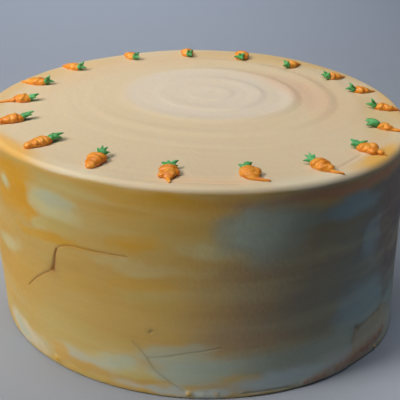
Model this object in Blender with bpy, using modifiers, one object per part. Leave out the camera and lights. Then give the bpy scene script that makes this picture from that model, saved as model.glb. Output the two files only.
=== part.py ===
"""Round frosted carrot cake with a ring of piped carrots on top.

Run it with: blender --background --python part.py
Lengths are in metres, +Z is up and -Y is the front. The origin is the middle of the underside.
The cake is one solid. Each piped carrot is two more: its orange root and its green leaves.
"""

import math
from collections import namedtuple

import bmesh
import bpy
from mathutils import Matrix, Vector

MM = 0.001
GAP = 0.3 * MM  # between pieces that touch

# The cake: upright sides that narrow and lean a little, and a soft edge round the top.
CAKE_HEIGHT = 0.1145
RIM_RADIUS = 0.117
BASE_RADIUS = 0.114
BASE_LEAN = 0.0033  # how far the foot stands towards +X of the top
RIM_ROUNDING = 0.0030
FOOT_ROUNDING = 0.0015
SIDE_ROWS = 9
SEGMENTS = 72

# Hand finishing leaves the rim slightly out of round and out of level.
RIM_OVAL = 0.0020
RIM_TRIANGLE = -0.0017
RIM_WAVE = -0.0014

# The turntable leaves low rings on the top, at these shares of the rim's radius.
TOP_DOME = 0.0015
RING_SHARES = (0.14, 0.29, 0.43, 0.60, 0.71)
RING_HEIGHT = 0.0005
RINGS_END = 0.82
RING_OFFSET = 0.022  # the rings' middle lies this far behind the cake's

# A lip of frosting swells out at the foot, on the front right.
LIP_ANGLE = math.radians(-26)
LIP_SPREAD = math.radians(13)
LIP_HEIGHT = 0.024
LIP_REACH = 0.0022

# Each carrot is piped by hand. Lengths are in millimetres and angles in degrees.
# angle and place say where leaves and root meet, about the cake's middle. turn is the root's
# heading off the outward direction, and curl is how far its tail then bends. leaves is how many
# points its tuft has, and leaf is their length.
Carrot = namedtuple("Carrot", "angle place turn body width ridges tail curl leaves leaf")
CARROTS = (
    Carrot(-119, 97.0, 10, 12.0, 9.5, 2, 0.0, 0, 4, 5.5),
    Carrot(-98, 98.5, 8, 10.0, 9.0, 2, 3.5, 15, 3, 4.0),
    Carrot(-77, 98.5, 4, 9.0, 9.0, 2, 3.0, 130, 3, 4.0),
    Carrot(-56, 100.0, 6, 9.5, 9.5, 1, 5.5, 50, 4, 5.0),
    Carrot(-35, 99.0, 2, 10.5, 8.0, 3, 3.5, 12, 4, 5.0),
    Carrot(-13, 99.0, -10, 7.5, 6.5, 1, 7.5, 15, 5, 5.0),
    Carrot(6, 100.5, -10, 10.5, 7.0, 1, 2.5, 10, 3, 5.0),
    Carrot(23, 99.5, -10, 9.5, 7.0, 2, 3.0, 10, 3, 5.0),
    Carrot(38, 100.0, -6, 9.5, 7.5, 1, 2.5, 0, 4, 5.0),
    Carrot(56, 98.5, -6, 9.5, 8.0, 2, 2.5, -10, 3, 5.0),
    Carrot(75, 98.5, 4, 10.0, 10.0, 1, 2.5, 15, 4, 4.5),
    Carrot(95, 98.5, 15, 9.5, 8.5, 2, 2.0, 20, 3, 4.5),
    Carrot(116, 98.5, 12, 9.5, 7.5, 1, 1.5, 0, 3, 4.5),
    Carrot(140, 99.0, 8, 10.5, 7.5, 2, 2.5, -10, 3, 5.0),
    Carrot(160, 98.0, 6, 12.0, 8.0, 1, 3.0, -20, 3, 5.0),
    Carrot(178.5, 96.0, 6, 9.5, 8.5, 1, 6.5, 25, 3, 4.5),
    Carrot(197.5, 99.0, 8, 13.0, 8.0, 3, 3.0, 15, 4, 5.0),
    Carrot(220, 97.5, 0, 13.5, 8.0, 4, 0.0, 0, 4, 5.5),
)

# The roots' shape
ROOT_STATIONS = 15
ROOT_SHOULDER = 0.25  # share of the body that rounds up to its full width
ROOT_START = 0.60  # width of the first section, as a share of the full width
BLUNT_END = 0.42  # width that a root with no tail has before it rounds off
TAIL_WIDTH = 2.8 * MM
TAIL_TIP = 1.1 * MM
BODY_FULLNESS = 1.7  # the power by which a body narrows: more keeps it full for longer
END_FULLNESS = 6  # the same for the rounded end of a root with no tail
END_FACE = 0.12  # share of a rounded end's area that its last section keeps
BEND_START = 0.6  # share of the body that stays straight before the tail bends
RIDGE_DEPTH = 0.09
WIGGLE = 0.3 * MM
ROOT_SINK = 0.35  # a body's centre height over its half width; a tail's is higher
TAIL_RISE = 0.35
ROOT_SQUASH = 0.70

# The leaves' shape: a small mound with pulled points
TUFT_CENTRE = Vector((-1.6, 0, 1.6)) * MM
TUFT_RADII = Vector((2.4, 2.6, 2.0)) * MM
LEAF_SPREAD = math.radians(48)  # between two leaves, seen from above
LEAF_RISE = math.radians(36)
LEAF_RISE_STEP = math.radians(22)

SHARP_ANGLE = math.radians(60)


def clear_scene():
    for obj in list(bpy.data.objects):
        bpy.data.objects.remove(obj, do_unlink=True)


def icing(name, color, roughness):
    material = bpy.data.materials.new(name)
    material.use_nodes = True
    shader = material.node_tree.nodes["Principled BSDF"]
    shader.inputs["Base Color"].default_value = (*color, 1)
    shader.inputs["Roughness"].default_value = roughness
    shader.inputs["Metallic"].default_value = 0
    return material


def finish_mesh(mesh, material):
    mesh.materials.append(material)
    mesh.shade_smooth()
    mesh.set_sharp_from_angle(angle=SHARP_ANGLE)


def evaluated_mesh(obj):
    """A mesh copy of the object with its modifiers applied. The object is removed."""
    graph = bpy.context.evaluated_depsgraph_get()
    mesh = bpy.data.meshes.new_from_object(obj.evaluated_get(graph))
    bpy.data.objects.remove(obj, do_unlink=True)
    return mesh


def arc(centre, radius, start, end, steps):
    """Points round an arc from one angle to the other, both included."""
    turns = [start + (end - start) * step / steps for step in range(steps + 1)]
    return [(centre[0] + radius * math.cos(t), centre[1] + radius * math.sin(t)) for t in turns]


# --- the cake ---


def rim_swell(angle):
    """How far the rim stands outside its plain circle."""
    return RIM_OVAL * math.sin(2 * angle) + RIM_TRIANGLE * math.cos(3 * angle)


def top_lift(share, angle):
    """How far the top stands above its plain level, at a share of the rim's radius."""
    return TOP_DOME * (1 - share**2) + RIM_WAVE * math.cos(2 * angle) * share**2


def top_height(x, y):
    """The top's height outside its rings, its rounded edge included."""
    angle = math.atan2(y, x)
    share = math.hypot(x, y) / (RIM_RADIUS + rim_swell(angle))
    into_edge = max(0.0, RIM_ROUNDING - RIM_RADIUS * (1 - share))
    drop = RIM_ROUNDING - math.sqrt(max(0.0, RIM_ROUNDING**2 - into_edge**2))
    return CAKE_HEIGHT + top_lift(share, angle) - drop


def lip(angle, height):
    """How far the lip at the foot swells the side out."""
    round_it = math.exp(-(((angle - LIP_ANGLE) / LIP_SPREAD) ** 2))
    return LIP_REACH * round_it * max(0.0, 1 - height / LIP_HEIGHT)


def cake_profile():
    """The half outline that is turned into the cake, from the middle of the top to the underside's."""
    points = [(0, CAKE_HEIGHT)]
    inner = 0
    for crest in RING_SHARES:
        points.append(((inner + crest) / 2 * RIM_RADIUS, CAKE_HEIGHT - RING_HEIGHT))
        points.append((crest * RIM_RADIUS, CAKE_HEIGHT + RING_HEIGHT))
        inner = crest
    points.append((RINGS_END * RIM_RADIUS, CAKE_HEIGHT))
    edge = (RIM_RADIUS - RIM_ROUNDING, CAKE_HEIGHT - RIM_ROUNDING)
    points += arc(edge, RIM_ROUNDING, math.pi / 2, 0, 4)
    side_top = CAKE_HEIGHT - RIM_ROUNDING
    for row in range(1, SIDE_ROWS + 1):
        down = row / SIDE_ROWS
        radius = RIM_RADIUS + (BASE_RADIUS - RIM_RADIUS) * down
        points.append((radius, side_top + (FOOT_ROUNDING - side_top) * down))
    points.append((BASE_RADIUS - FOOT_ROUNDING, 0))
    points.append((0, 0))
    return points


def hand_finish(point):
    """Takes a point of the turned cake to its place on the uneven one."""
    angle = math.atan2(point.y, point.x)
    radius = math.hypot(point.x, point.y)
    share = radius / RIM_RADIUS
    level = point.z / CAKE_HEIGHT
    wider = rim_swell(angle) * level * share + lip(angle, point.z) * share
    outward = Vector((math.cos(angle), math.sin(angle), 0))
    rings_back = max(0.0, 1 - share / RINGS_END) * level * RING_OFFSET
    shift = Vector((BASE_LEAN * (1 - level), rings_back, top_lift(share, angle) * level))
    return point + outward * wider + shift


def build_cake(collection, material):
    profile = bpy.data.meshes.new("cake_profile")
    points = [(radius, 0, height) for radius, height in cake_profile()]
    edges = [(i, i + 1) for i in range(len(points) - 1)]
    profile.from_pydata(points, edges, [])
    turned = bpy.data.objects.new("cake_turned", profile)
    collection.objects.link(turned)
    screw = turned.modifiers.new("turn", "SCREW")
    screw.steps = SEGMENTS
    screw.render_steps = SEGMENTS
    screw.use_merge_vertices = True
    screw.merge_threshold = 0.0001
    mesh = evaluated_mesh(turned)
    for vertex in mesh.vertices:
        vertex.co = hand_finish(vertex.co)
    mesh.name = "cake"
    finish_mesh(mesh, material)
    collection.objects.link(bpy.data.objects.new("cake", mesh))


# --- the piped carrots ---


def lay_on_cake(mesh, spot, heading):
    """Sets a piece's flat underside down on the top, just clear of it. Its own X is the heading."""
    along = Vector((math.cos(heading), math.sin(heading), 0))
    across = Vector((-along.y, along.x, 0))
    for vertex in mesh.vertices:
        place = spot + along * vertex.co.x + across * vertex.co.y
        height = max(vertex.co.z, GAP)
        vertex.co.z = top_height(place.x, place.y) + height - spot.z


def root_width(carrot, run):
    """The root's full width after a run from its leaves."""
    body, full = carrot.body * MM, carrot.width * MM
    share = run / body
    end = TAIL_WIDTH if carrot.tail else full * BLUNT_END
    if share < ROOT_SHOULDER:
        left = 1 - share / ROOT_SHOULDER
        return full * (ROOT_START + (1 - ROOT_START) * math.sqrt(1 - left**2))
    if share >= 1 and carrot.tail:
        return TAIL_WIDTH + (TAIL_TIP - TAIL_WIDTH) * (run - body) / (carrot.tail * MM)
    fall = (share - ROOT_SHOULDER) / (1 - ROOT_SHOULDER)
    width = end + (full - end) * (1 - fall**BODY_FULLNESS)
    if carrot.ridges > 1:
        width *= 1 + RIDGE_DEPTH * math.cos(2 * math.pi * carrot.ridges * fall) * (1 - fall)
    if not carrot.tail:
        width *= math.sqrt(max(END_FACE, 1 - fall**END_FULLNESS))
    return width


def root_side(carrot, run):
    """How far the root's middle line lies to the side of its heading."""
    length = (carrot.body + carrot.tail) * MM
    bend_start = carrot.body * MM * BEND_START
    bent = max(0.0, run - bend_start)
    bend = math.radians(carrot.curl) * bent**2 / (2 * (length - bend_start))
    body_share = min(1.0, run / (carrot.body * MM))
    return bend + WIGGLE * math.sin(2 * math.pi * carrot.ridges * body_share) * (1 - body_share)


def build_root(name, carrot, collection, material):
    length = (carrot.body + carrot.tail) * MM
    curve = bpy.data.curves.new(name, "CURVE")
    curve.dimensions = "3D"
    curve.bevel_depth = 1
    curve.bevel_resolution = 2
    curve.use_fill_caps = True
    spline = curve.splines.new("POLY")
    spline.points.add(ROOT_STATIONS - 1)
    for index, point in enumerate(spline.points):
        step = index / (ROOT_STATIONS - 1)
        run = length * (0.4 * step**2 + 0.6 * step)
        half = root_width(carrot, run) / 2
        in_tail = max(0.0, run / (carrot.body * MM) - 1)
        height = half * (ROOT_SINK + TAIL_RISE * min(1.0, 2 * in_tail))
        point.co = (run, root_side(carrot, run), height, 1)
        point.radius = half
    piped = bpy.data.objects.new(name, curve)
    collection.objects.link(piped)
    mesh = evaluated_mesh(piped)
    bpy.data.curves.remove(curve)
    shell = bmesh.new()
    shell.from_mesh(mesh)
    bmesh.ops.remove_doubles(shell, verts=shell.verts, dist=0.01 * MM)
    for vertex in shell.verts:
        vertex.co.x = max(0.0, vertex.co.x)
        vertex.co.z *= ROOT_SQUASH
    shell.to_mesh(mesh)
    shell.free()
    return place_piece(name, mesh, carrot, collection, material)


def leaf_ways(carrot):
    """The directions that the leaves point in: a fan that leans back over the cake's middle."""
    for leaf in range(carrot.leaves):
        turn = math.pi + (leaf - (carrot.leaves - 1) / 2) * LEAF_SPREAD
        rise = LEAF_RISE + LEAF_RISE_STEP * (-1) ** leaf
        flat = math.cos(rise)
        yield Vector((math.cos(turn) * flat, math.sin(turn) * flat, math.sin(rise)))


def build_leaves(name, carrot, collection, material):
    """A mound whose points are pulled out to leaves. Two neighbouring points are never both pulled."""
    tuft = bmesh.new()
    bmesh.ops.create_icosphere(tuft, subdivisions=2, radius=1)
    bmesh.ops.rotate(tuft, verts=tuft.verts, matrix=Matrix.Rotation(math.radians(carrot.angle), 3, "Z"))
    free = list(tuft.verts)
    leaves = set()
    for way in leaf_ways(carrot):
        leaf = max(free, key=lambda vertex: vertex.co.dot(way))
        taken = {leaf} | {edge.other_vert(leaf) for edge in leaf.link_edges}
        free = [vertex for vertex in free if vertex not in taken]
        leaves.add(leaf)
    for vertex in tuft.verts:
        reach = vertex.co * carrot.leaf * MM if vertex in leaves else vertex.co * TUFT_RADII
        vertex.co = reach + TUFT_CENTRE
        vertex.co.x = min(vertex.co.x, -GAP)
    mesh = bpy.data.meshes.new(name)
    tuft.to_mesh(mesh)
    tuft.free()
    return place_piece(name, mesh, carrot, collection, material)


def place_piece(name, mesh, carrot, collection, material):
    """Stands a piece at its carrot's spot, turned to the carrot's heading."""
    angle = math.radians(carrot.angle)
    heading = angle + math.radians(carrot.turn)
    reach = carrot.place * MM
    spot = Vector((reach * math.cos(angle), reach * math.sin(angle), 0))
    spot.z = top_height(spot.x, spot.y)
    lay_on_cake(mesh, spot, heading)
    finish_mesh(mesh, material)
    piece = bpy.data.objects.new(name, mesh)
    piece.location = spot
    piece.rotation_euler.z = heading
    collection.objects.link(piece)
    return piece


def main():
    clear_scene()
    collection = bpy.data.collections.new("carrot_cake")
    bpy.context.scene.collection.children.link(collection)
    frosting = icing("frosting", (0.62, 0.46, 0.24), 0.55)
    root_icing = icing("root_icing", (0.74, 0.26, 0.03), 0.45)
    leaf_icing = icing("leaf_icing", (0.05, 0.38, 0.12), 0.45)
    build_cake(collection, frosting)
    for number, carrot in enumerate(CARROTS, start=1):
        build_root(f"root_{number:02d}", carrot, collection, root_icing)
        build_leaves(f"leaves_{number:02d}", carrot, collection, leaf_icing)


main()
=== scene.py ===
"""The looks of the frosted carrot cake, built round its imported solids.

Lengths are in metres unless a name says millimetres, +Z is up and -Y is the cake's front.
One skin of frosting replaces the cake's solid. Each piped carrot's root and leaves are replaced too.
"""

import math
import random
from collections import namedtuple

import bmesh
import bpy
import numpy as np
from mathutils import Matrix, Vector, noise


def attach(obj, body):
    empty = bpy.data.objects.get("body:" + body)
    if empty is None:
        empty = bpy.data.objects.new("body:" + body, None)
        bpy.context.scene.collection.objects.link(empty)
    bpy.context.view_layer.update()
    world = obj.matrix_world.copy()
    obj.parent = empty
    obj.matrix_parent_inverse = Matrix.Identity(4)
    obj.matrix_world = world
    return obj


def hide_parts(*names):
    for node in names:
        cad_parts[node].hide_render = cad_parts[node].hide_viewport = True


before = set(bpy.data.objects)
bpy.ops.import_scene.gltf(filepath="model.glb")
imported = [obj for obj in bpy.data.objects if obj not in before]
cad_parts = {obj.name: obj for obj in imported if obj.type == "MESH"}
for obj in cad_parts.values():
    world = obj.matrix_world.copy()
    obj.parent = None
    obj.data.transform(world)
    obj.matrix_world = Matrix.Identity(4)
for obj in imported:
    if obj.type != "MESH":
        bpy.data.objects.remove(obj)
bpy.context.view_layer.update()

MM = 0.001

# --- sizes that repeat the solids' ---

CAKE_HEIGHT = 0.1145
RIM_RADIUS = 0.117
BASE_RADIUS = 0.114
BASE_LEAN = 0.0033
RIM_ROUNDING = 0.0030
FOOT_ROUNDING = 0.0015
RIM_OVAL = 0.0020
RIM_TRIANGLE = -0.0017
RIM_WAVE = -0.0014
TOP_DOME = 0.0015
LIP_ANGLE = math.radians(-26)
LIP_SPREAD = math.radians(13)
LIP_HEIGHT = 0.024
LIP_REACH = 0.0022

Carrot = namedtuple("Carrot", "angle place turn body width ridges tail curl leaves leaf")
CARROTS = (
    Carrot(-119, 97.0, 10, 12.0, 9.5, 2, 0.0, 0, 4, 5.5),
    Carrot(-98, 98.5, 8, 10.0, 9.0, 2, 3.5, 15, 3, 4.0),
    Carrot(-77, 98.5, 4, 9.0, 9.0, 2, 3.0, 130, 3, 4.0),
    Carrot(-56, 100.0, 6, 9.5, 9.5, 1, 5.5, 50, 4, 5.0),
    Carrot(-35, 99.0, 2, 10.5, 8.0, 3, 3.5, 12, 4, 5.0),
    Carrot(-13, 99.0, -10, 7.5, 6.5, 1, 7.5, 15, 5, 5.0),
    Carrot(6, 100.5, -10, 10.5, 7.0, 1, 2.5, 10, 3, 5.0),
    Carrot(23, 99.5, -10, 9.5, 7.0, 2, 3.0, 10, 3, 5.0),
    Carrot(38, 100.0, -6, 9.5, 7.5, 1, 2.5, 0, 4, 5.0),
    Carrot(56, 98.5, -6, 9.5, 8.0, 2, 2.5, -10, 3, 5.0),
    Carrot(75, 98.5, 4, 10.0, 10.0, 1, 2.5, 15, 4, 4.5),
    Carrot(95, 98.5, 15, 9.5, 8.5, 2, 2.0, 20, 3, 4.5),
    Carrot(116, 98.5, 12, 9.5, 7.5, 1, 1.5, 0, 3, 4.5),
    Carrot(140, 99.0, 8, 10.5, 7.5, 2, 2.5, -10, 3, 5.0),
    Carrot(160, 98.0, 6, 12.0, 8.0, 1, 3.0, -20, 3, 5.0),
    Carrot(178.5, 96.0, 6, 9.5, 8.5, 1, 6.5, 25, 3, 4.5),
    Carrot(197.5, 99.0, 8, 13.0, 8.0, 3, 3.0, 15, 4, 5.0),
    Carrot(220, 97.5, 0, 13.5, 8.0, 4, 0.0, 0, 4, 5.5),
)


# --- small helpers ---


def linear(red, green, blue):
    """A colour given as 0 to 255 screen values, as the linear values that shaders take."""
    return np.array([((value / 255 + 0.055) / 1.055) ** 2.4 for value in (red, green, blue)])


def smooth(low, high, value):
    """0 below low, 1 above high, and an S curve between."""
    share = np.clip((value - low) / (high - low), 0, 1)
    return share * share * (3 - 2 * share)


def grain(points, cells, seed):
    """Perlin noise, about -1 to 1, at each point. cells is how many there are to a metre on each axis."""
    shift = Vector((17.3, 5.1, 9.7)) * seed
    return np.array([noise.noise(Vector(point) + shift) for point in points * cells])


def add_node(tree, kind, sockets=None, **settings):
    """Adds a shader node. A socket is given a value, or the output that feeds it."""
    made = tree.nodes.new("ShaderNode" + kind)
    for name, value in settings.items():
        setattr(made, name, value)
    for name, value in (sockets or {}).items():
        if isinstance(value, bpy.types.NodeSocket):
            tree.links.new(value, made.inputs[name])
        else:
            made.inputs[name].default_value = value
    return made


def new_piece(name, mesh, material, node):
    """Puts a finished mesh in the scene in place of a CAD node."""
    mesh.name = name
    mesh.materials.clear()
    mesh.materials.append(material)
    mesh.shade_smooth()
    piece = bpy.data.objects.new(name, mesh)
    bpy.context.scene.collection.objects.link(piece)
    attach(piece, "root")
    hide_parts(node)
    return piece


# --- the frosting's skin ---

COLUMNS = 560
TOP_ROWS = 50
RIM_ROWS = 6
SIDE_ROWS = 76
FOOT_ROWS = 3
UNDER_ROWS = 3
SEAM_ANGLE = math.pi / 2  # at the back

TOP_RUN = RIM_RADIUS - RIM_ROUNDING
RIM_RUN = RIM_ROUNDING * math.pi / 2
SIDE_RUN = CAKE_HEIGHT - RIM_ROUNDING - FOOT_ROUNDING
FOOT_RUN = FOOT_ROUNDING * math.pi / 2
SIDE_START = TOP_RUN + RIM_RUN
FOOT_START = SIDE_START + SIDE_RUN
UNDER_START = FOOT_START + FOOT_RUN
UNDER_RUN = BASE_RADIUS - FOOT_ROUNDING


def rim_swell(angle):
    return RIM_OVAL * np.sin(2 * angle) + RIM_TRIANGLE * np.cos(3 * angle)


def top_lift(share, angle):
    return TOP_DOME * (1 - share**2) + RIM_WAVE * np.cos(2 * angle) * share**2


def top_height(x, y):
    """The solid top's height outside its rings, its rounded edge included."""
    angle = math.atan2(y, x)
    share = math.hypot(x, y) / (RIM_RADIUS + rim_swell(angle))
    into_edge = max(0.0, RIM_ROUNDING - RIM_RADIUS * (1 - share))
    drop = RIM_ROUNDING - math.sqrt(max(0.0, RIM_ROUNDING**2 - into_edge**2))
    return CAKE_HEIGHT + top_lift(share, angle) - drop


def outline(run):
    """The turned outline: radius, height, and the outward direction's two parts, at each run."""
    bend = np.clip((run - TOP_RUN) / RIM_ROUNDING, 0, math.pi / 2)
    down = np.clip((run - SIDE_START) / SIDE_RUN, 0, 1)
    tuck = np.clip((run - FOOT_START) / FOOT_ROUNDING, 0, math.pi / 2)
    under = np.clip((run - UNDER_START) / UNDER_RUN, 0, 1)
    radius = np.minimum(run, TOP_RUN) + RIM_ROUNDING * np.sin(bend)
    radius = radius + (BASE_RADIUS - RIM_RADIUS) * down - FOOT_ROUNDING * (1 - np.cos(tuck))
    radius = radius * (1 - under)
    height = CAKE_HEIGHT - RIM_ROUNDING * (1 - np.cos(bend)) - SIDE_RUN * down
    height = height - FOOT_ROUNDING * np.sin(tuck)
    out = np.sin(bend) * np.cos(tuck)
    up = np.cos(bend) - np.sin(tuck)
    return radius, height, out, up


def skin_points(angle, run, relief):
    """Where the skin's points lie, with the hand's unevenness and the relief on top of the turned outline."""
    radius, height, out, up = outline(run)
    radius = radius + out * relief
    height = np.maximum(height + up * relief, 0)
    share = radius / RIM_RADIUS
    level = height / CAKE_HEIGHT
    bulge = np.exp(-(((wrapped(angle - LIP_ANGLE)) / LIP_SPREAD) ** 2))
    lip = LIP_REACH * bulge * np.clip(1 - height / LIP_HEIGHT, 0, 1)
    wide = radius + (rim_swell(angle) * level + lip) * share
    x = wide * np.cos(angle) + BASE_LEAN * (1 - level)
    y = wide * np.sin(angle)
    return np.stack([x, y, height + top_lift(share, angle) * level], axis=1)


def wrapped(angle):
    """The same angle between -pi and pi."""
    return (angle + math.pi) % (2 * math.pi) - math.pi


def frosting_sheet():
    """The skin laid out flat: x counts columns and y counts rows."""
    runs = np.concatenate(
        [
            np.linspace(0, TOP_RUN, TOP_ROWS, endpoint=False),
            np.linspace(TOP_RUN, SIDE_START, RIM_ROWS, endpoint=False),
            np.linspace(SIDE_START, FOOT_START, SIDE_ROWS, endpoint=False),
            np.linspace(FOOT_START, UNDER_START, FOOT_ROWS, endpoint=False),
            np.linspace(UNDER_START, UNDER_START + UNDER_RUN, UNDER_ROWS + 1),
        ]
    )
    sheet = bmesh.new()
    rows = len(runs) - 1
    bmesh.ops.create_grid(sheet, x_segments=COLUMNS, y_segments=rows, size=0.5)
    for vertex in sheet.verts:
        column = (vertex.co.x + 0.5) * 2 * math.pi
        row = (vertex.co.y + 0.5) * rows
        vertex.co = (SEAM_ANGLE + column, np.interp(row, range(rows + 1), runs), 0)
    return sheet


# --- the frosting's colours ---

PAINTS = {
    "saffron": linear(228, 164, 14),
    "amber": linear(220, 166, 50),
    "gold": linear(212, 170, 82),
    "honey": linear(211, 176, 101),
    "straw": linear(208, 184, 108),
    "cream": linear(215, 207, 154),
    "milk": linear(184, 195, 176),
    "ice": linear(192, 206, 206),
    # Blue-grey, used only on the right of the front: partly painted shade, the cream made greyer and bluer
    # where that side faces away from the light.
    "cloud": linear(142, 162, 164),
    "tan": linear(178, 149, 112),
    # Rose-grey for the right edge of the front: partly painted shade, where the light falls off.
    "rose_shade": linear(130, 104, 95),
    # Grey-green for the right of the front: partly painted shade, darker than the frosting's own colour where
    # that side faces away from the light.
    "stone_shade": linear(123, 128, 118),
    "mist": linear(164, 172, 156),
    # Dark grey-brown for the far right of the front: partly painted shade, where the light falls off.
    "dusk_shade": linear(102, 86, 84),
    "rust": linear(200, 142, 98),
    "crust": linear(184, 166, 132),
    "crumb": linear(168, 114, 92),
    "groove": linear(150, 88, 34),
    "shade": linear(128, 112, 84),
    # Dark olive-brown for the torn patch's notch and the step above it: painted shade in these recesses.
    "hollow_shade": linear(104, 84, 58),
    "ivory": linear(220, 200, 167),
    "disc": linear(222, 209, 193),
    "sand": linear(222, 192, 155),
    "blush": linear(221, 189, 160),
    "butter": linear(217, 180, 112),
    "peach": linear(232, 200, 162),
    "white": linear(224, 212, 184),
    "apricot": linear(230, 178, 86),
}

# Each smear is an ellipse in the marbling, drawn out along the side. The grey and blue-grey ones on the right
# of the front are partly painted shade. angle and wide are in degrees, height and tall in hundredths of the
# side's height, and lean is how far it climbs in a degree.
Smear = namedtuple("Smear", "paint angle height wide tall lean strength")
SIDE_WASHES = (
    Smear("tan", -2, 50, 22, 90, 0, 0.5),
    Smear("tan", -72, 42, 18, 36, 0, 0.85),
    # A wash over the right of the front, partly painted shade.
    Smear("stone_shade", -36, 50, 31, 95, 0, 0.97),
    Smear("gold", -110, 52, 22, 20, 0, 0.4),
    Smear("gold", -141, 84, 15, 17, 0, 0.7),
    Smear("amber", -155, 38, 17, 34, 0.3, 0.6),
    # Partly painted shade along the right edge of the front.
    Smear("rose_shade", -25, 70, 13, 28, 0, 0.9),
    Smear("apricot", -96, 96, 70, 5, 0, 0.65),
)
SIDE_SMEARS = (
    Smear("straw", -123, 94.5, 13, 4, 0, 0.7),
    Smear("saffron", -143, 94, 10, 5.5, 0, 0.95),
    Smear("saffron", -142, 79, 8.5, 6, 0.3, 0.8),
    Smear("saffron", -136.5, 87, 3.5, 5, 0, 0.8),
    Smear("saffron", -141, 88, 9, 8, 0, 0.5),
    Smear("cream", -126.5, 84.5, 7.5, 7, -0.2, 0.9),
    Smear("milk", -125.5, 85.5, 5, 4, -0.2, 0.5),
    Smear("cream", -145.5, 87, 3.2, 2.4, -0.5, 0.95),
    Smear("cream", -135, 73.5, 5, 2.2, 0, 0.7),
    Smear("straw", -127, 75, 9, 2.6, 0, 0.8),
    Smear("amber", -130, 67.5, 12, 2.4, 0, 0.9),
    Smear("amber", -106, 76, 6.5, 4.5, 0, 0.8),
    Smear("gold", -110, 86, 8, 5, 0, 0.6),
    Smear("amber", -99, 86, 12, 7, 0, 0.45),
    Smear("amber", -101, 96, 17, 4.2, 0, 1),
    Smear("rust", -55, 96, 26, 2.8, 0, 0.9),
    Smear("cream", -103, 64, 15, 2.6, 0, 0.45),
    Smear("cream", -86, 72.5, 8, 4, 0, 0.6),
    Smear("amber", -99, 54, 10, 3.2, 0, 0.4),
    Smear("straw", -103, 46.5, 7, 3.4, 0, 0.6),
    Smear("cream", -149, 51, 8, 4, 0.3, 0.7),
    Smear("straw", -130, 57, 5, 3, 0, 0.6),
    Smear("straw", -152, 14, 12, 5, 0.4, 0.7),
    Smear("mist", -73, 81, 10.5, 14, 0, 0.75),
    Smear("milk", -75, 82, 5.5, 10, 0, 0.8),
    # The next five smears, blue-grey, dark grey-brown and rose-grey, are partly painted shade on the right of
    # the front.
    Smear("cloud", -51, 86, 10, 6.5, 0, 1),
    Smear("cloud", -39, 66, 4, 11, 0, 0.7),
    Smear("dusk_shade", -22, 58, 8, 18, 0, 0.8),
    Smear("rose_shade", -57, 66, 6, 5, 0, 0.3),
    Smear("cloud", -43, 29, 9, 14, 0, 0.9),
    Smear("tan", -76, 29, 6, 4, 0.1, 0.5),
    Smear("straw", -114, 24, 8, 4, 0, 0.4),
    # Partly painted shade, blue-grey, at the right of the foot.
    Smear("cloud", -20, 14, 8, 12, 0, 0.9),
    Smear("mist", -62, 15, 19, 8, 0, 0.9),
    Smear("milk", -95, 23, 9, 4, 0, 0.6),
    Smear("cream", -108, 13, 8, 7, 0, 0.85),
    Smear("milk", -107.5, 14, 6, 5, 0, 0.6),
    Smear("milk", -90, 15, 13, 7.5, 0.05, 0.95),
    Smear("white", -143, 4.5, 9, 5, 0.1, 0.8),
    Smear("milk", -147, 3, 6, 3, 0, 0.6),
    Smear("ice", -121, 8, 11, 5, 0, 0.5),
    Smear("ice", -100, 2, 10, 2.5, 0, 0.7),
    Smear("amber", -129, 7, 4, 4, 0, 0.8),
    Smear("gold", -120, 6, 8, 2.2, 0, 0.9),
    Smear("straw", -104, 7.5, 9, 1.8, 0, 0.7),
    Smear("gold", -100, 5, 6, 1.4, 0, 0.7),
    Smear("straw", -79, 9, 6, 1.8, 0, 0.5),
    Smear("ice", -64, 5, 19, 5, 0, 0.9),
    Smear("ice", -87, 2.5, 4, 3, 0, 0.8),
    Smear("ice", -36, 6, 22, 8, 0, 0.6),
)
HIDDEN_FROM, HIDDEN_TO = -12, 190  # degrees round the back, where smears are laid by rule
HIDDEN_SMEARS = 46
HIDDEN_PAINTS = ("cream", "honey", "gold", "straw", "amber", "milk", "gold", "cream", "tan")
HIDDEN_SEED = 11

# On the top, height and tall are hundredths of the rim's radius from the middle.
TOP_SMEARS = (
    Smear("sand", 12, 62, 34, 11, 0, 0.65),
    Smear("blush", 30, 58, 34, 10, 0, 0.75),
    Smear("butter", 75, 88, 24, 9, 0, 0.55),
    Smear("sand", 120, 78, 50, 12, 0, 0.6),
    Smear("butter", 140, 90, 26, 7, 0, 0.4),
    Smear("butter", 168, 97, 26, 6, 0, 0.6),
    Smear("apricot", -143, 98.5, 17, 6, 0, 0.9),
    Smear("white", -124, 97, 12, 5, 0, 0.6),
    Smear("peach", -88, 93, 13, 4.5, 0, 0.7),
    Smear("white", -62, 97, 11, 5, 0, 0.85),
    Smear("apricot", -36, 97, 13, 4.5, 0, 0.95),
    Smear("sand", -30, 88, 12, 6, 0, 0.5),
    Smear("sand", 20, 76, 44, 7, 0, 0.5),
    Smear("honey", -2, 87, 22, 8, 0, 0.4),
    Smear("apricot", 10, 97, 16, 4.5, 0, 0.5),
    Smear("butter", 52, 96, 20, 5, 0, 0.7),
)
DISC_CENTRE = Vector((0.0035, 0.022))  # the middle of the turntable's rings
DISC_RADIUS = 0.049


def lay(colours, smears, angle, level, warp, inner=0.5, outer=1.45):
    """Lays smears one over another, each fading out between the inner and the outer share of its size.

    warp is two fields of wandering, in hundredths. Each smear takes its own mix of them.
    """
    for number, smear in enumerate(smears):
        mix, turn = math.cos(number), math.sin(number)
        astray = 1.3 * (mix * warp[0] + turn * warp[1])
        raised = 0.8 * (mix * warp[1] - turn * warp[0])
        aside = (angle - smear.angle + 180) % 360 - 180 + astray
        over = level - smear.height - smear.lean * aside + raised
        far = np.hypot(aside / smear.wide, over / smear.tall)
        cover = smear.strength * (1 - smooth(inner, outer, far))
        colours += cover[:, None] * (PAINTS[smear.paint] - colours)


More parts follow.
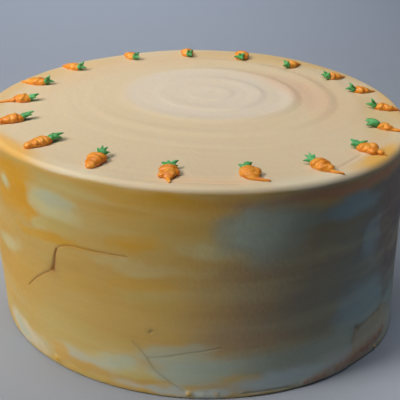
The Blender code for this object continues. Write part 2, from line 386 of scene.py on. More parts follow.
def hidden_smears():
    """Smears of the same kinds and sizes, for the part of the side that nobody has described."""
    draw = random.Random(HIDDEN_SEED)
    for number in range(HIDDEN_SMEARS):
        share = (number + 0.5) / HIDDEN_SMEARS
        yield Smear(
            HIDDEN_PAINTS[number % len(HIDDEN_PAINTS)],
            HIDDEN_FROM + share * (HIDDEN_TO - HIDDEN_FROM) + draw.uniform(-6, 6),
            draw.uniform(4, 96),
            draw.uniform(7, 20),
            draw.uniform(3, 9),
            draw.uniform(-0.15, 0.3),
            draw.uniform(0.4, 0.8),
        )


# --- marks in the frosting ---

# A mark is a line of points: degrees, hundredths of the side's height, and half width in millimetres.
Mark = namedtuple("Mark", "points depth paint strength")
KNOT = ((-129.2, 50.6, 0.7), (-128.4, 51.5, 1.8), (-128.0, 54, 1.25), (-127.6, 57, 0.8), (-127.2, 60, 0.55),
        (-126.6, 62.6, 0.42))
CRACK_UP = ((-126.6, 62.6, 0.4), (-125.5, 64.7, 0.42), (-123.6, 66.2, 0.42), (-120.8, 67.2, 0.42),
            (-117, 67.4, 0.42), (-112, 67.8, 0.4), (-106.5, 68.2, 0.3))
CRACK_DOWN = ((-129.6, 49.8, 0.45), (-130.9, 48.3, 0.7), (-132.9, 45.7, 0.6), (-135, 42.8, 0.5),
              (-137, 39.4, 0.4), (-139.2, 35.6, 0.3))
CREASE = ((-106, 26, 0.4), (-104.5, 23.5, 0.6), (-102.2, 18.5, 0.7), (-100.8, 13.5, 0.7), (-98.4, 9.5, 0.7),
          (-95.5, 5.5, 0.6), (-93, 2.5, 0.5))
CREASE_RIGHT = ((-102, 18.7, 0.6), (-97.2, 20.6, 0.6), (-92.6, 23.1, 0.5), (-88, 24.8, 0.4), (-84, 26.4, 0.3))
SIDE_MARKS = (
    Mark(KNOT, 0.6, "groove", 0.95),
    Mark(CRACK_UP, 0.22, "groove", 0.4),
    Mark(CRACK_DOWN, 0.32, "groove", 0.6),
    Mark(CREASE, 0.2, "shade", 0.32),
    Mark(CREASE_RIGHT, 0.15, "shade", 0.35),
    Mark(((-101.4, 32.3, 1.0), (-100.9, 32.9, 1.0)), 0.35, "shade", 0.45),
    Mark(((-78, 1.2, 0.5), (-72, 1.4, 0.5), (-66, 1.2, 0.4)), 0.4, "shade", 0.5),
    # These two marks cut the torn patch's notch and the step along its top edge, and paint shade into them.
    Mark(((-44.2, 21, 1.0), (-43.7, 17, 1.9), (-44.4, 12, 1.2)), 0.5, "hollow_shade", 0.9),
    Mark(((-43, 20.8, 0.7), (-37, 20.6, 0.6), (-30, 20.6, 0.5)), 0.2, "hollow_shade", 0.45),
)
# On the top the second number is hundredths of the rim's radius.
TOP_MARKS = (
    Mark(((-51.5, 92, 0.9), (-46, 90.6, 0.8), (-42.5, 89.8, 0.6), (-38.5, 89.4, 0.4)), 0.6, "sand", 0.7),
    Mark(((-104, 95.5, 0.5), (-92, 94.2, 0.6), (-80, 94.8, 0.5)), 0.25, "sand", 0.5),
    Mark(((-98, 92.3, 0.4), (-88, 91.8, 0.5), (-79, 92.4, 0.4)), 0.2, "sand", 0.4),
)


HALO_WIDTH = 2.6  # how far a mark's colour spreads, in its own widths
HALO_SHARE = 0.3


def side_run(height):
    """The run down the skin at a height on the side, given in hundredths."""
    return SIDE_START + SIDE_RUN * (1 - height / 100)


def mark_cover(mark, place_of, angle, run, wider=1):
    """How much of a mark is at each point, from 0 to 1."""
    spots = [(math.radians(turn), place_of(at), half * MM) for turn, at, half in mark.points]
    scale = min(RIM_RADIUS, spots[0][1])
    cover = np.zeros(len(angle))
    for (turn_a, run_a, half_a), (turn_b, run_b, half_b) in zip(spots, spots[1:]):
        across = wrapped(angle - turn_a) * scale
        down = run - run_a
        step = np.array([(turn_b - turn_a) * scale, run_b - run_a])
        along = np.clip((across * step[0] + down * step[1]) / (step @ step), 0, 1)
        far = np.hypot(across - along * step[0], down - along * step[1])
        half = (half_a + (half_b - half_a) * along) * wider
        cover = np.maximum(cover, np.exp(-((far / half) ** 2)))
    return cover


def top_run(share):
    return share / 100 * RIM_RADIUS


def all_marks():
    for mark in SIDE_MARKS:
        yield mark, side_run
    for mark in TOP_MARKS:
        yield mark, top_run


# The torn patch at the foot, on the front right: its upper edge, in degrees and hundredths.
TORN_EDGE = ((-46, 0), (-45, 9), (-44.6, 20), (-43.4, 21.5), (-42.6, 19), (-41.5, 20.6), (-38, 20.2), (-35, 21),
             (-31, 20.3), (-28, 20.6), (-25, 18.6), (-22.5, 16), (-20.5, 10), (-17, 5), (-14, 0))
TORN_DEPTH = 0.5 * MM
TORN_BURR = 0.3 * MM

# Lumps at the foot: degrees, hundredths, millimetres across and out, and the paint.
Lump = namedtuple("Lump", "angle height wide tall out paint")
LUMPS = (
    Lump(-129.6, 2.6, 3.2, 2.6, 1.5, "amber"),
    Lump(-124, 1.5, 4.5, 1.8, 0.8, "gold"),
    Lump(-115, 0.6, 3.0, 1.3, 1.0, "straw"),
    Lump(-113.5, 1.4, 1.6, 1.2, 0.6, "gold"),
    Lump(-92, 1.8, 2.6, 2.2, 1.1, "gold"),
    Lump(-88.5, 1.2, 2.0, 1.8, 0.8, "milk"),
    Lump(-85.2, 1.8, 1.5, 2.0, 1.3, "amber"),
    Lump(-104, 1.0, 5.0, 1.6, 0.6, "gold"),
    Lump(-152, 0.8, 4.0, 1.6, 0.8, "cream"),
    Lump(-33.6, 1.2, 2.0, 1.6, 1.5, "butter"),
    Lump(-30.5, 0.9, 1.6, 1.2, 1.0, "amber"),
)
CRUMB_FROM, CRUMB_TO = -62, -27  # the line of brown crumb along the foot, in degrees


def torn(angle, level, ragged):
    """1 inside the torn patch, 0 outside, and how near its edge each point is."""
    edge = np.interp(angle, [spot[0] for spot in TORN_EDGE], [spot[1] for spot in TORN_EDGE])
    inside = edge + ragged - level
    fading = (edge > 0) * (1 - smooth(-28, -18, angle))
    return smooth(-0.7, 0.7, inside) * fading, np.exp(-(((inside - 0.8) / 1.3) ** 2)) * fading


def crumb_line(angle, level, bits):
    """How much brown crumb shows along the foot."""
    share = np.clip((angle - CRUMB_FROM) / (CRUMB_TO - CRUMB_FROM), 0, 1)
    middle = 1.4 + 5.4 * share**1.2
    thick = 1.0 + 3.0 * np.sin(math.pi * share) ** 0.7
    inside = (angle > CRUMB_FROM) & (angle < CRUMB_TO)
    return inside * np.exp(-(((level - middle) / thick) ** 2)) * (0.6 + 0.4 * smooth(-0.5, 0.3, bits))


def lump_cover(lump, angle, level):
    aside = wrapped(angle - math.radians(lump.angle)) * BASE_RADIUS / (lump.wide * MM / 2)
    over = (level - lump.height) / 100 * SIDE_RUN / (lump.tall * MM / 2)
    return np.exp(-(aside**2 + over**2))


# --- relief ---

RINGS = ((0.011, 0.4), (0.029, 0.7), (0.0485, 1.0), (0.0690, 0.8), (0.085, 0.4))  # radius, mm high
RING_RISE = 0.010
RING_FALL = 0.0028


def ring_relief(places, wobble):
    """The turntable's low ridges, each rising slowly and falling off quickly outward."""
    across = places[:, 0] - DISC_CENTRE.x
    back = places[:, 1] - DISC_CENTRE.y
    turn = np.arctan2(back, across)
    far = np.hypot(across, back) + 0.0022 * wobble - 0.0016 * np.cos(turn)
    relief = np.zeros(len(far))
    for radius, high in RINGS:
        rise = smooth(radius - RING_RISE, radius, far)
        fall = 1 - smooth(radius, radius + RING_FALL, far)
        relief += high * MM * rise * fall
    return relief * (0.6 + 0.4 * np.cos(turn + 0.3)), far, turn


def build_frosting(material):
    sheet = frosting_sheet()
    refine(sheet)
    flat = np.array([vertex.co for vertex in sheet.verts])
    angle, run = flat[:, 0], flat[:, 1]
    degrees = np.degrees(wrapped(angle))
    plain = skin_points(angle, run, np.zeros(len(run)))
    level = 100 * (1 - (run - SIDE_START) / SIDE_RUN)
    share = 100 * run / RIM_RADIUS
    on_side = smooth(TOP_RUN, SIDE_START, run) * (1 - smooth(FOOT_START, UNDER_START, run))
    rim_wave = grain(plain, np.array([45, 45, 45]), 9)
    on_top = 1 - smooth(SIDE_START - 0.0012, SIDE_START + 0.0004, run + 0.0010 * rim_wave)
    above = 1 - smooth(FOOT_START, UNDER_START, run)

    warp = []
    for seed in (1, 2):
        wander = 4.5 * grain(plain, np.array([26, 26, 34]), seed)
        wander += 2.6 * grain(plain, np.array([62, 62, 90]), seed + 20)
        wander += 1.4 * grain(plain, np.array([150, 150, 220]), seed + 40)
        warp.append(wander)
    mottle = grain(plain, np.array([18, 18, 44]), 12) + 0.5 * grain(plain, np.array([50, 50, 110]), 13)
    ragged = 1.2 * grain(plain, np.array([260, 260, 260]), 4)
    bits = grain(plain, np.array([330, 330, 330]), 5)
    broad = grain(plain, np.array([14, 14, 20]), 6)
    scraped = grain(plain, np.array([16, 16, 150]), 7)
    fine = grain(plain, np.array([60, 60, 420]), 8)

    rings, far, turn = ring_relief(plain, broad)
    circling = np.stack([far * 190, 2.2 * np.cos(turn), 2.2 * np.sin(turn)], axis=1)
    brushed = grain(circling, 1, 10)
    relief = on_top * (rings * (1 - smooth(0.080, 0.100, far)) + 0.04 * MM * brushed + 0.25 * MM * broad)
    relief += on_side * MM * (0.45 * broad + 0.12 * scraped + 0.03 * fine)
    relief += np.exp(-(((run - SIDE_START + 0.002) / 0.003) ** 2)) * 0.35 * MM * rim_wave

    colours = np.tile(PAINTS["honey"], (len(run), 1))
    colours += (0.5 * smooth(0.05, 0.7, mottle))[:, None] * (PAINTS["straw"] - colours)
    colours += (0.5 * smooth(0.05, 0.7, -mottle))[:, None] * (PAINTS["gold"] - colours)
    lay(colours, SIDE_WASHES, degrees, level, warp, 0.3, 1.6)
    lay(colours, hidden_smears(), degrees, level, warp, 0.3, 1.6)
    lay(colours, SIDE_SMEARS, degrees, level, warp)
    top = np.tile(PAINTS["ivory"], (len(run), 1))
    in_disc = 1 - smooth(DISC_RADIUS - 0.006, DISC_RADIUS + 0.003, far)
    top += (0.75 * in_disc)[:, None] * (PAINTS["disc"] - top)
    lay(top, TOP_SMEARS, degrees, share, (0.4 * warp[0], 0.4 * warp[1]), 0.5, 1.4)
    top += (0.08 * smooth(-0.1, 0.7, brushed) * on_top)[:, None] * (PAINTS["sand"] - top)
    colours += on_top[:, None] * (top - colours)

    for mark, place_of in all_marks():
        cover = mark_cover(mark, place_of, angle, run)
        # Each mark's paint also spreads thinly round it. Round the shade and hollow marks this halo is wider,
        # softer painted shade.
        halo = mark_cover(mark, place_of, angle, run, HALO_WIDTH)
        relief -= mark.depth * MM * cover * above
        mark_paint = mark.strength * np.maximum(cover, HALO_SHARE * halo)
        colours += mark_paint[:, None] * (PAINTS[mark.paint] - colours)
    inside, burr = torn(degrees, level, ragged)
    relief += on_side * (TORN_BURR * burr * (1 - inside) - TORN_DEPTH * inside * (1 + 0.5 * bits))
    colours += (inside * on_side * (0.75 + 0.5 * mottle).clip(0, 1))[:, None] * (PAINTS["crust"] - colours)
    dark_edge = burr * inside * on_side * (1 - smooth(-44, -38, degrees) * 0.6)
    colours += (0.9 * dark_edge)[:, None] * (PAINTS["shade"] - colours)
    crumbs = crumb_line(degrees, level, bits)
    relief += above * crumbs * MM * (0.5 + 0.6 * bits)
    colours += (0.9 * crumbs)[:, None] * (PAINTS["crumb"] - colours)
    for lump in LUMPS:
        cover = lump_cover(lump, angle, level) * above
        relief += lump.out * MM * cover * (1 + 0.3 * bits)
        colours += np.minimum(1, 1.3 * cover)[:, None] * (PAINTS[lump.paint] - colours)

    places = skin_points(angle, run, relief)
    tint = sheet.verts.layers.float_color.new("tint")
    band = sheet.verts.layers.float.new("band")
    marbling = sheet.verts.layers.float.new("marbling")
    for index, vertex in enumerate(sheet.verts):
        vertex.co = places[index]
        vertex[tint] = (*colours[index], 1)
        vertex[band] = run[index] if on_side[index] > 0.5 else far[index]
        vertex[marbling] = on_side[index]
    bmesh.ops.remove_doubles(sheet, verts=sheet.verts, dist=1e-6)
    bmesh.ops.recalc_face_normals(sheet, faces=sheet.faces)
    mesh = bpy.data.meshes.new("frosting")
    sheet.to_mesh(mesh)
    sheet.free()
    return new_piece("frosting", mesh, material, "cake")


REFINE_PASSES = 2
REFINE_REACH = 0.0022


def refine(sheet):
    """Splits the cells that lie along a mark or the torn edge, so that fine lines keep their shape."""
    for _ in range(REFINE_PASSES):
        sheet.faces.ensure_lookup_table()
        middles = np.array([face.calc_center_median() for face in sheet.faces])
        near = near_detail(middles[:, 0], middles[:, 1])
        edges = {edge for index in np.flatnonzero(near) for edge in sheet.faces[index].edges}
        bmesh.ops.subdivide_edges(sheet, edges=list(edges), cuts=1, use_grid_fill=True)


def near_detail(angle, run):
    near = np.zeros(len(angle), bool)
    for mark, place_of in all_marks():
        wide = Mark([(turn, at, REFINE_REACH / MM) for turn, at, _ in mark.points], 0, "", 0)
        near |= mark_cover(wide, place_of, angle, run) > math.exp(-1)
    degrees = np.degrees(wrapped(angle))
    edge = Mark([(turn, at, REFINE_REACH / MM) for turn, at in TORN_EDGE], 0, "", 0)
    near |= mark_cover(edge, side_run, angle, run) > math.exp(-1)
    level = 100 * (1 - (run - SIDE_START) / SIDE_RUN)
    near |= (degrees > CRUMB_FROM) & (degrees < CRUMB_TO) & (level > 0) & (level < 7)
    return near


def frosting_material():
    """Buttercream: the laid colours, finer streaks along the smears, and a slightly pitted satin face."""
    material = bpy.data.materials.new("frosting")
    material.use_nodes = True
    tree = material.node_tree
    shader = tree.nodes["Principled BSDF"]
    tint = add_node(tree, "Attribute", attribute_name="tint").outputs["Color"]
    band = add_node(tree, "Attribute", attribute_name="band").outputs["Fac"]
    marbling = add_node(tree, "Attribute", attribute_name="marbling").outputs["Fac"]
    place = add_node(tree, "TexCoord").outputs["Object"]
    parts = add_node(tree, "SeparateXYZ", {0: place})
    along = add_node(tree, "CombineXYZ", {0: parts.outputs[0], 1: parts.outputs[1], 2: band}).outputs[0]

    def streaks(scale, detail):
        stretched = add_node(tree, "VectorMath", {0: along, 1: scale}, operation="MULTIPLY").outputs[0]
        return add_node(tree, "TexNoise", {"Vector": stretched, "Scale": 1, "Detail": detail}).outputs[0]

    def ramp(value, low, high, to_low, to_high):
        return add_node(tree, "MapRange", {0: value, 1: low, 2: high, 3: to_low, 4: to_high}).outputs[0]

    def scaled(value, share):
        return add_node(tree, "Math", {0: value, 1: share}, operation="MULTIPLY").outputs[0]

    def mixed(factor, first, second, blend="MIX"):
        node = add_node(tree, "Mix", data_type="RGBA", blend_type=blend)
        tree.links.new(factor, node.inputs[0])
        for socket, value in ((node.inputs[6], first), (node.inputs[7], second)):
            if isinstance(value, bpy.types.NodeSocket):
                tree.links.new(value, socket)
            else:
                socket.default_value = value
        return node.outputs[2]

    wide_streak = streaks((11, 11, 75), 3)
    thin_streak = streaks((22, 22, 300), 2)
    scale = add_node(tree, "Math", {0: marbling, 1: 0.8, 2: 0.2}, operation="MULTIPLY_ADD").outputs[0]
    pale = scaled(ramp(wide_streak, 0.5, 0.75, 0, 0.3), scale)
    deep = scaled(ramp(wide_streak, 0.48, 0.25, 0, 0.4), scale)
    colour = mixed(pale, tint, (*PAINTS["cream"], 1))
    colour = mixed(deep, colour, (0.93, 0.80, 0.62, 1), "MULTIPLY")
    colour = mixed(ramp(thin_streak, 0.35, 0.65, 0, 0.2), colour, (0.93, 0.90, 0.84, 1), "MULTIPLY")
    tree.links.new(colour, shader.inputs["Base Color"])

    pits = add_node(tree, "TexNoise", {"Vector": place, "Scale": 420, "Detail": 3}).outputs[0]
    lift = add_node(tree, "Math", {0: thin_streak, 1: 0.7, 2: pits}, operation="MULTIPLY_ADD").outputs[0]
    bump = add_node(tree, "Bump", {"Height": lift, "Strength": 0.35, "Distance": 0.0004})
    tree.links.new(bump.outputs[0], shader.inputs["Normal"])
    tree.links.new(ramp(pits, 0.3, 0.7, 0.44, 0.60), shader.inputs["Roughness"])
    shader.inputs["Specular IOR Level"].default_value = 0.35
    shader.inputs["Subsurface Weight"].default_value = 0.15
    shader.inputs["Subsurface Radius"].default_value = (1.0, 0.6, 0.3)
    shader.inputs["Subsurface Scale"].default_value = 0.003
    return material


build_frosting(frosting_material())

# --- the piped carrots ---

# A carrot lies along +X from its leaves to its tail, on the plane z = 0, before it is laid on the cake.
ROOT_SHOULDER = 0.25
BODY_FULLNESS = 1.7
BEND_START = 0.6  # where the tail's bend begins, as a share of the body
ROOT_START = 0.60
BLUNT_END = 0.42
TAIL_WIDTH = 3.3 * MM
TAIL_TIP = 1.6 * MM
ROOT_SINK = 0.35
TAIL_RISE = 0.35
ROOT_SQUASH = 0.70
WIGGLE = 0.3 * MM
CORE_SHARE = 0.90  # the core's width over the root's
CORE_STATIONS = 34
ROPE_STATIONS = 14  # in each pass of the rope across the root
ROPE_FROM, ROPE_TO = 0.16, 0.90  # where the rope runs, as shares of the body
ROPE_SWING = math.radians(66)  # how far down each flank it turns back
ROPE_PROUD = 0.40 * MM
SUNK = 0.45 * MM  # how deep a piped piece sits in the frosting
TUFT_CENTRE = Vector((-1.2, 0, 1.9)) * MM
TUFT_RADII = Vector((1.7, 2.2, 1.8)) * MM
LEAF_SPREAD = math.radians(48)
LEAF_RISE = math.radians(36)
LEAF_RISE_STEP = math.radians(22)
LEAF_TIP = 0.30 * MM
LEAF_DROOP = 0.22
LEAF_STATIONS = 9
TUBE_SIDES = 14
ROOT_VOXEL = 0.30 * MM
LEAF_VOXEL = 0.22 * MM

# What sets single carrots apart: blobs as x, y, z and radius in millimetres, and leaves as the turn
# and rise in degrees, the length and the thickness, where the plain fan isn't what was piped.
ROOT_BLOBS = {
    2: ((4.6, 3.4, 2.0, 2.2), (7.6, 1.8, 2.2, 2.0), (7.2, -2.6, 1.6, 2.2)),
    3: ((3.6, 4.0, 2.4, 2.6), (6.6, 2.6, 1.8, 2.2)),
    4: ((4.5, 2.6, 2.6, 2.6), (8.4, 1.6, 2.2, 2.3)),
    5: ((2.2, 1.2, 2.6, 2.2), (6.2, 2.0, 3.4, 2.8), (7.8, -2.0, 2.0, 2.4), (11.4, 0.4, 1.7, 1.9)),
    6: ((3.2, 0.6, 2.4, 2.4),),
    18: ((11.6, 0.0, 1.6, 2.5),),
}
LEAF_FANS = {
    1: ((-44, 30, 5.6, 1.3), (-12, 44, 6.2, 1.2), (20, 40, 5.8, 1.2), (54, 24, 4.8, 1.4)),
    2: ((-50, 22, 4.6, 1.3), (-4, 34, 4.2, 1.4), (52, 28, 6.4, 1.3), (80, 14, 4.4, 1.4)),
    3: ((-66, 34, 3.8, 1.2), (74, 36, 5.0, 2.0), (40, 34, 4.8, 1.8)),
    4: ((-52, 14, 5.0, 1.3), (-22, 34, 5.6, 1.2), (8, 46, 5.4, 1.1), (46, 36, 5.0, 1.2), (124, 26, 5.6, 1.0)),
    5: ((-50, 18, 4.2, 1.6), (-10, 40, 5.2, 1.5), (14, 24, 5.0, 1.9), (56, 26, 4.2, 1.7), (136, 34, 6.0, 1.2)),
    6: ((-36, 10, 6.4, 1.8), (-12, 22, 7.2, 1.8), (16, 22, 7.2, 1.8), (42, 14, 6.4, 1.8), (0, 36, 5.4, 1.8)),
    16: ((-26, 26, 5.0, 1.4), (6, 38, 5.4, 1.2), (40, 22, 4.4, 1.4)),
    17: ((-18, 22, 6.0, 1.5), (8, 32, 6.6, 1.3), (30, 24, 5.0, 1.4)),
    18: ((-12, 14, 8.0, 1.4), (12, 26, 7.4, 1.3), (-36, 22, 5.2, 1.4), (36, 16, 5.6, 1.4)),
}


def sweep(shell, points, halves):
    """Adds a round tube with round ends along the points, as thick at each as its half width."""
    ahead = (points[-1] - points[-2]).normalized()
    back = (points[0] - points[1]).normalized()
    turns = [math.radians(turn) for turn in (25, 50, 70, 85)]
    before = [(points[0] + back * halves[0] * math.sin(t), halves[0] * math.cos(t)) for t in reversed(turns)]
    after = [(points[-1] + ahead * halves[-1] * math.sin(t), halves[-1] * math.cos(t)) for t in turns]
    spine = before + list(zip(points, halves)) + after
    rings = []
    for index, (place, half) in enumerate(spine):
        way = spine[min(index + 1, len(spine) - 1)][0] - spine[max(index - 1, 0)][0]
        side = way.cross(Vector((0, 0, 1))).normalized()
        up = side.cross(way).normalized()
        steps = [2 * math.pi * number / TUBE_SIDES for number in range(TUBE_SIDES)]
        rings.append([shell.verts.new(place + (side * math.cos(t) + up * math.sin(t)) * half) for t in steps])
    for near, far in zip(rings, rings[1:]):
        for number in range(TUBE_SIDES):
            beside = (number + 1) % TUBE_SIDES
            shell.faces.new((near[number], near[beside], far[beside], far[number]))
    shell.faces.new(list(reversed(rings[0])))
    shell.faces.new(rings[-1])


def add_blob(shell, place, radii):
    made = bmesh.ops.create_icosphere(shell, subdivisions=3, radius=1)
    for vertex in made["verts"]:
        vertex.co = vertex.co * radii + place


def melted(shell, voxel, rounds):
    """One closed skin round everything in the shell, with its inner corners softened."""
    mesh = bpy.data.meshes.new("loose")
    bmesh.ops.recalc_face_normals(shell, faces=shell.faces)
    shell.to_mesh(mesh)
    shell.free()
    loose = bpy.data.objects.new("loose", mesh)
    bpy.context.scene.collection.objects.link(loose)
    fuse = loose.modifiers.new("fuse", "REMESH")
    fuse.mode = "VOXEL"
    fuse.voxel_size = voxel
    soften = loose.modifiers.new("soften", "SMOOTH")
    soften.factor = 0.5
    soften.iterations = rounds
    bpy.context.view_layer.update()
    fused = bpy.data.meshes.new_from_object(loose.evaluated_get(bpy.context.evaluated_depsgraph_get()))
    bpy.data.objects.remove(loose)
    bpy.data.meshes.remove(mesh)
    return fused


def lay_on_cake(mesh, carrot, lumps):
    """Roughens the piece a little, and stands it at its spot so that its underside follows the cake's top."""
    angle = math.radians(carrot.angle)
    spot = Vector((math.cos(angle), math.sin(angle), 0)) * carrot.place * MM
    turned = Matrix.Rotation(angle + math.radians(carrot.turn), 3, "Z")
    seed = Vector((carrot.angle, 0, 0))
    moved = []
    for vertex in mesh.vertices:
        bump = noise.noise(vertex.co * 260 + seed) + 0.4 * noise.noise(vertex.co * 700 + seed)
        place = vertex.co + vertex.normal * bump * lumps
        place.z = max(place.z, -SUNK)
        place = turned @ place + spot
        place.z += top_height(place.x, place.y)
        moved.append(place)
    for vertex, place in zip(mesh.vertices, moved):
        vertex.co = place


def root_width(carrot, run):
    """The root's full width after a run from its leaves."""
    body, full = carrot.body * MM, carrot.width * MM
    share = run / body
    end = TAIL_WIDTH if carrot.tail else full * BLUNT_END
    if share < ROOT_SHOULDER:
        left = 1 - share / ROOT_SHOULDER
        return full * (ROOT_START + (1 - ROOT_START) * math.sqrt(1 - left**2))
    if share >= 1 and carrot.tail:
        return TAIL_WIDTH + (TAIL_TIP - TAIL_WIDTH) * (run - body) / (carrot.tail * MM)
    fall = (share - ROOT_SHOULDER) / (1 - ROOT_SHOULDER)
    return end + (full - end) * (1 - fall**BODY_FULLNESS)


def root_side(carrot, run):
    """How far the root's middle line lies to the side of its heading."""
    length = (carrot.body + carrot.tail) * MM
    bend_start = carrot.body * MM * BEND_START
    bent = max(0.0, run - bend_start)
    bend = math.radians(carrot.curl) * bent**2 / (2 * (length - bend_start))
    body_share = min(1.0, run / (carrot.body * MM))
    return bend + WIGGLE * math.sin(2 * math.pi * carrot.ridges * body_share) * (1 - body_share)


def root_middle(carrot, run):
    half = root_width(carrot, run) / 2
    in_tail = max(0.0, run / (carrot.body * MM) - 1)
    height = half * (ROOT_SINK + TAIL_RISE * min(1.0, 2 * in_tail))
    return Vector((run, root_side(carrot, run), height)), half


def add_core(shell, carrot):
    length = (carrot.body + carrot.tail) * MM
    first = root_width(carrot, 0) / 2 * CORE_SHARE * 0.8
    last = length - (0 if carrot.tail else root_width(carrot, length) / 2 * CORE_SHARE)
    runs = [first + (last - first) * index / (CORE_STATIONS - 1) for index in range(CORE_STATIONS)]
    middles = [root_middle(carrot, run) for run in runs]
    sweep(shell, [place for place, half in middles], [half * CORE_SHARE for place, half in middles])


def add_rope(shell, carrot):
    """The icing as it was piped: a rope laid to and fro over the core."""
    passes = carrot.ridges + 2
    thick = 0.58 * carrot.body * MM * (ROPE_TO - ROPE_FROM) / passes
    points, halves = [], []
    for step in range(passes * ROPE_STATIONS + 1):
        share = step / (passes * ROPE_STATIONS)
        middle, half = root_middle(carrot, carrot.body * MM * (ROPE_FROM + share * (ROPE_TO - ROPE_FROM)))
        rope = min(thick, 0.55 * half)
        swing = ROPE_SWING * math.sin(math.pi * (passes * share + carrot.ridges + 0.5))
        reach = half - rope + ROPE_PROUD
        points.append(middle + Vector((0, math.sin(swing), math.cos(swing))) * reach)
        halves.append(rope)
    sweep(shell, points, halves)


def build_root(number, carrot, material):
    shell = bmesh.new()
    add_core(shell, carrot)
    add_rope(shell, carrot)
    for across, aside, up, radius in ROOT_BLOBS.get(number, ()):
        add_blob(shell, Vector((across, aside, up)) * MM, Vector((radius, radius, radius)) * MM)
    for vertex in shell.verts:
        vertex.co.z *= ROOT_SQUASH
    mesh = melted(shell, ROOT_VOXEL, 5)
    lay_on_cake(mesh, carrot, 0.14 * MM)
    name = f"root_{number:02d}"
    return new_piece(name + "_piped", mesh, material, name)


def plain_fan(carrot):
    """Leaves spread evenly and leaning back over the cake's middle, every other one steeper."""
    for leaf in range(carrot.leaves):
        turn = (leaf - (carrot.leaves - 1) / 2) * LEAF_SPREAD
        rise = LEAF_RISE + LEAF_RISE_STEP * (-1) ** leaf
        yield math.degrees(turn), math.degrees(rise), carrot.leaf, 1.3


def add_leaf(shell, turn, rise, length, thick):
    """One leaf: a drop of icing pulled out to a point, which droops a little."""
    flat = math.cos(rise)
    way = Vector((-math.cos(turn) * flat, math.sin(turn) * flat, math.sin(rise)))
    points, halves = [], []
    for step in range(LEAF_STATIONS):
        share = step / (LEAF_STATIONS - 1)
        points.append(TUFT_CENTRE + way * length * share - Vector((0, 0, LEAF_DROOP * length * share**2)))
        belly = 0.8 + 0.35 * math.sin(math.pi * share)
        halves.append(LEAF_TIP + (thick - LEAF_TIP) * (1 - share) ** 0.8 * belly)
    sweep(shell, points, halves)


def build_leaves(number, carrot, material):
    shell = bmesh.new()
    add_blob(shell, TUFT_CENTRE, TUFT_RADII)
    for turn, rise, length, thick in LEAF_FANS.get(number, plain_fan(carrot)):
        add_leaf(shell, math.radians(turn), math.radians(rise), length * MM, thick * MM)
    mesh = melted(shell, LEAF_VOXEL, 3)
    lay_on_cake(mesh, carrot, 0.10 * MM)
    name = f"leaves_{number:02d}"
    return new_piece(name + "_piped", mesh, material, name)


def icing_material(name, main, light, deep, roughness):
    """Smooth piped icing: the colour wanders a little, and the face is satin with a faint pitting."""
    material = bpy.data.materials.new(name)
    material.use_nodes = True
    tree = material.node_tree
    shader = tree.nodes["Principled BSDF"]
    place = add_node(tree, "TexCoord").outputs["Object"]
    cloud = add_node(tree, "TexNoise", {"Vector": place, "Scale": 230, "Detail": 2}).outputs[0]
    fine = add_node(tree, "TexNoise", {"Vector": place, "Scale": 900, "Detail": 2}).outputs[0]
    ramp = add_node(tree, "ValToRGB", {0: cloud})
    low, high = ramp.color_ramp.elements
    low.position, low.color = 0.30, (*deep, 1)
    high.position, high.color = 0.70, (*light, 1)
    middle = ramp.color_ramp.elements.new(0.5)
    middle.color = (*main, 1)
    tree.links.new(ramp.outputs[0], shader.inputs["Base Color"])
    bump = add_node(tree, "Bump", {"Height": fine, "Strength": 0.3, "Distance": 0.0002})
    tree.links.new(bump.outputs[0], shader.inputs["Normal"])
    satin = add_node(tree, "MapRange", {0: fine, 1: 0.3, 2: 0.7, 3: roughness - 0.06, 4: roughness + 0.08})
    tree.links.new(satin.outputs[0], shader.inputs["Roughness"])
    shader.inputs["Subsurface Weight"].default_value = 0.2
    shader.inputs["Subsurface Radius"].default_value = (1.0, 0.5, 0.25)
    shader.inputs["Subsurface Scale"].default_value = 0.0012
    return material


orange = icing_material("root_icing", linear(238, 152, 46), linear(243, 168, 64), linear(226, 130, 32), 0.38)
green = icing_material("leaf_icing", linear(82, 168, 96), linear(104, 190, 120), linear(58, 134, 66), 0.40)
for number, carrot in enumerate(CARROTS, start=1):
    build_root(number, carrot, orange)
    build_leaves(number, carrot, green)

# --- studio ---

VIEW_DISTANCE = 4.603  # in rim radii, from the middle of the top
VIEW_RISE = math.radians(18.70)
VIEW_YAW = math.radians(0.18)
VIEW_PITCH = math.radians(-5.51)
VIEW_ROLL = math.radians(1.94)
SENSOR_WIDTH = 36
FOCAL_LENGTH = 961 / 400 * SENSOR_WIDTH

FLOOR_RADIUS = 6.0
KEY_ANGLE = math.radians(-156)
KEY_RISE = math.radians(43)
KEY_DISTANCE = 1.8
KEY_AIM = Vector((-0.10, 0.08, 0.05))
KEY_SIZE = 0.8
KEY_SPREAD = math.radians(36)
KEY_POWER = 1.85
KEY_COLOUR = (1.0, 0.96, 0.90)
TOP_PLACE = Vector((-0.12, 0.03, 1.1))
TOP_AIM = Vector((-0.03, 0.02, CAKE_HEIGHT))
TOP_SIZE = 0.4
TOP_SPREAD = math.radians(40)
TOP_POWER = 0.22
TOP_COLOUR = (1.0, 0.97, 0.92)
BACK_PLACE = Vector((-0.25, 0.95, 1.4))
BACK_SIZE = 0.3
BACK_CONE = math.radians(72)
BACK_POWER = 80
BACK_COLOUR = (0.90, 0.94, 1.0)
SKY_COLOUR = (0.42, 0.68, 1.0)
SKY_STRENGTH = 0.07
POOL_PLACE = Vector((0.34, -0.10, 0.75))
POOL_AIM = Vector((0.31, -0.10, 0))
POOL_SIZE = 0.15
POOL_CONE = math.radians(38)
POOL_POWER = 16
POOL_COLOUR = (0.95, 0.97, 1.0)


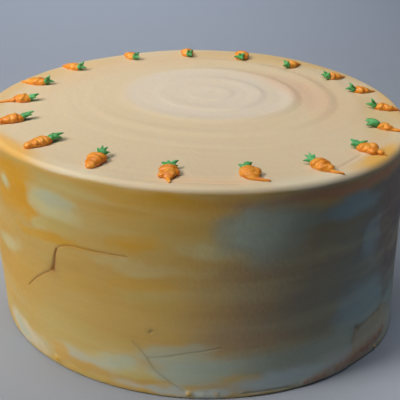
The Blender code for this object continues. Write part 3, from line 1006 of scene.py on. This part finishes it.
def add_floor():
    bpy.ops.mesh.primitive_circle_add(vertices=96, radius=FLOOR_RADIUS, fill_type="NGON")
    floor = bpy.context.active_object
    floor.name = "floor"
    material = bpy.data.materials.new("floor")
    material.use_nodes = True
    shader = material.node_tree.nodes["Principled BSDF"]
    shader.inputs["Base Color"].default_value = (0.33, 0.355, 0.41, 1)
    shader.inputs["Roughness"].default_value = 0.8
    floor.data.materials.append(material)


def hang_lamp(data, place, aim, power, colour):
    data.energy = power
    data.color = colour
    lamp = bpy.data.objects.new(data.name, data)
    bpy.context.scene.collection.objects.link(lamp)
    lamp.location = place
    lamp.rotation_euler = (place - aim).to_track_quat("Z", "Y").to_euler()


def add_spot(name, place, aim, size, cone, power, colour):
    data = bpy.data.lights.new(name, "SPOT")
    data.shadow_soft_size = size
    data.spot_size = cone
    data.spot_blend = 1
    hang_lamp(data, place, aim, power, colour)


def add_softbox(name, place, aim, size, spread, power, colour):
    data = bpy.data.lights.new(name, "AREA")
    data.shape = "DISK"
    data.size = size
    data.spread = spread
    hang_lamp(data, place, aim, power, colour)


def add_lights():
    """A soft key from the left, a softbox overhead, two pools of light on the floor, and a dim cool sky."""
    flat = math.cos(KEY_RISE)
    way = Vector((math.cos(KEY_ANGLE) * flat, math.sin(KEY_ANGLE) * flat, math.sin(KEY_RISE)))
    add_softbox("key", way * KEY_DISTANCE, KEY_AIM, KEY_SIZE, KEY_SPREAD, KEY_POWER, KEY_COLOUR)
    add_softbox("overhead", TOP_PLACE, TOP_AIM, TOP_SIZE, TOP_SPREAD, TOP_POWER, TOP_COLOUR)
    below = Vector((BACK_PLACE.x, BACK_PLACE.y, 0))
    add_spot("backdrop", BACK_PLACE, below, BACK_SIZE, BACK_CONE, BACK_POWER, BACK_COLOUR)
    add_spot("pool", POOL_PLACE, POOL_AIM, POOL_SIZE, POOL_CONE, POOL_POWER, POOL_COLOUR)
    world = bpy.data.worlds.new("sky")
    world.use_nodes = True
    sky = world.node_tree.nodes["Background"]
    sky.inputs["Color"].default_value = (*SKY_COLOUR, 1)
    sky.inputs["Strength"].default_value = SKY_STRENGTH
    bpy.context.scene.world = world


def add_camera():
    """Looks at the cake from the front and a little above, as the reference view does."""
    reach = Vector((0, -math.cos(VIEW_RISE), math.sin(VIEW_RISE)))
    ahead = -reach
    right = ahead.cross(Vector((0, 0, 1))).normalized()
    turn = Matrix.Rotation(VIEW_PITCH, 3, right)
    ahead = turn @ ahead
    up = right.cross(ahead)
    turn = Matrix.Rotation(-VIEW_YAW, 3, up)
    ahead = turn @ ahead
    right = turn @ right
    turn = Matrix.Rotation(-VIEW_ROLL, 3, ahead)
    right = turn @ right
    up = turn @ up
    data = bpy.data.cameras.new("camera")
    data.sensor_width = SENSOR_WIDTH
    data.lens = FOCAL_LENGTH
    camera = bpy.data.objects.new("camera", data)
    bpy.context.scene.collection.objects.link(camera)
    place = reach * VIEW_DISTANCE * RIM_RADIUS + Vector((0, 0, CAKE_HEIGHT))
    camera.matrix_world = Matrix.Translation(place) @ Matrix((right, up, -ahead)).transposed().to_4x4()
    bpy.context.scene.camera = camera


add_floor()
add_lights()
add_camera()
bpy.context.scene.view_settings.view_transform = "Standard"
